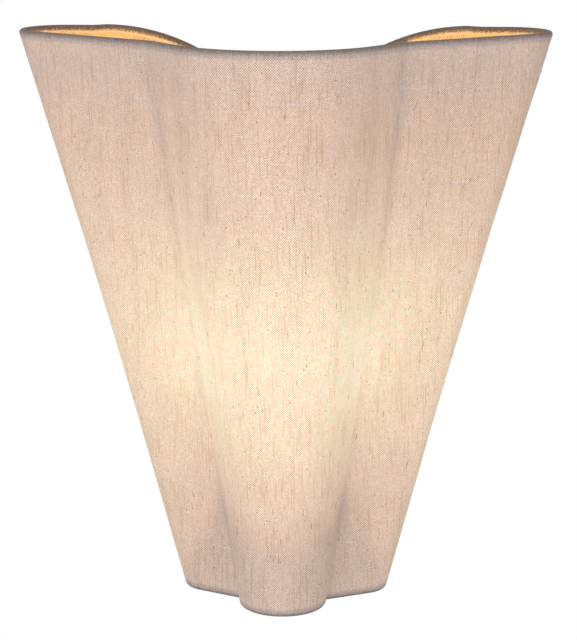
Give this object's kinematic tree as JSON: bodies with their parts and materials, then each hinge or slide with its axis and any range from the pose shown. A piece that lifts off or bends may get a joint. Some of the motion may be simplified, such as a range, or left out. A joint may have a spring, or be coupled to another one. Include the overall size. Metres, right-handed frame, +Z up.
{
  "type": "fabric shade wall light",
  "caption": "Wall light with a tapering three-lobed fabric shade on a wire frame, hooked over a round wall canopy with a bent arm and an upright candle lamp.",
  "frame": {"origin": "centre of the two wall screws, on the wall plane", "axes": "+Z up, +Y into the wall, so the light faces -Y, and +X to the right seen from the front"},
  "size_m": [0.3194, 0.1567, 0.352],
  "materials": {
    "linen": "slubbed linen weave",
    "frame_wire": "satin cream",
    "canopy_paint": "satin",
    "zinc_steel": "zinc plated",
    "brass": "bright",
    "holder_plastic": "smooth moulded",
    "white_moulding": "moulded",
    "nickel": "satin nickel",
    "black_glass": "glossy",
    "bulb_plastic": "smooth",
    "lamp_plate": "matt",
    "opal": "opal, lit",
    "brown_lead": "extruded",
    "blue_lead": "extruded",
    "green_lead": "extruded",
    "grommet": "moulded"
  },
  "bodies": {
    "fixture": {"arm_nut": "zinc_steel", "arm_rose": "canopy_paint", "arm_washer": "zinc_steel", "cable_grommet": "grommet", "canopy": "canopy_paint", "canopy_screw_bottom": "canopy_paint", "canopy_screw_top": "canopy_paint", "centre_contact": "brass", "clamp_screws": "zinc_steel", "earth_lead": "green_lead", "earth_screw": "zinc_steel", "earth_tag": "brass", "holder_arm": "canopy_paint", "holder_base": "holder_plastic", "holder_body": "holder_plastic", "holder_insert": "white_moulding", "holder_nut": "zinc_steel", "holder_ring": "holder_plastic", "hook_rivet_left": "zinc_steel", "hook_rivet_right": "zinc_steel", "live_lead": "brown_lead", "neutral_lead": "blue_lead", "shade_hook_left": "zinc_steel", "shade_hook_right": "zinc_steel", "side_contact": "brass", "terminal_block": "white_moulding", "terminal_block_screw": "zinc_steel", "terminal_sleeve_1": "brass", "terminal_sleeve_2": "brass", "terminal_sleeve_3": "brass", "wall_bracket": "zinc_steel"},
    "bulb_foot": {"bulb_foot_contact": "nickel", "bulb_foot_insulator": "black_glass"},
    "bulb": {"bulb_cap": "nickel", "bulb_collar": "bulb_plastic", "lamp_plate": "lamp_plate", "bulb_envelope": "opal"},
    "shade": {"shade_fabric": "linen", "bottom_ring": "frame_wire", "top_ring": "frame_wire", "hook_bar": "frame_wire", "back_wire_left": "frame_wire", "back_wire_right": "frame_wire", "crease_wire_left": "frame_wire", "crease_wire_right": "frame_wire"}
  },
  "joints": [
    {"name": "shade_lift", "type": "slide", "parent": "fixture", "child": "shade", "axis": [0, 0, 1], "range_m": [0, 0.22]},
    {"name": "bulb_rise", "type": "slide", "parent": "fixture", "child": "bulb_foot", "axis": [0, 0, 1], "range_m": [0, 0.0114]},
    {"name": "bulb_turn", "type": "hinge", "parent": "bulb_foot", "child": "bulb", "pos_m": [0, -0.048, 0.05], "axis": [0, 0, 1], "range_deg": [0, 1440]}
  ],
  "couplings": [
    {"joint": "bulb_rise", "follows": "bulb_turn", "m_per_rad": 0.00044882}
  ]
}
